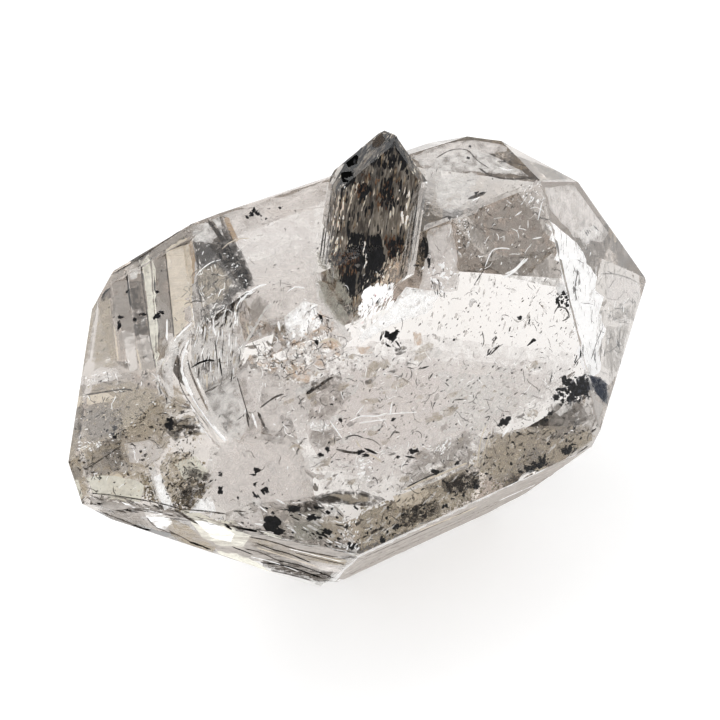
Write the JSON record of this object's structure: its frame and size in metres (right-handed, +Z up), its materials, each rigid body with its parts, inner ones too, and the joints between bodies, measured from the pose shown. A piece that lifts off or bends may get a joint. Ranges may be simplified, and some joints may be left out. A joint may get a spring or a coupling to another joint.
{
  "type": "herkimer diamond cluster",
  "caption": "Clear doubly terminated quartz crystal lying on a side, with a smaller smoky crystal grown into its upper front edge.",
  "frame": {"origin": "under the middle of the cluster's box, on the surface that it rests on", "axes": "+X along the clear crystal's long axis, +Y away from its widest side, +Z up"},
  "size_m": [0.0448, 0.0228, 0.0339],
  "materials": {
    "quartz": "clear quartz with dark flecks, glossy crystal faces"
  },
  "bodies": {
    "root": {"crystal_cluster": "quartz"}
  },
  "joints": []
}
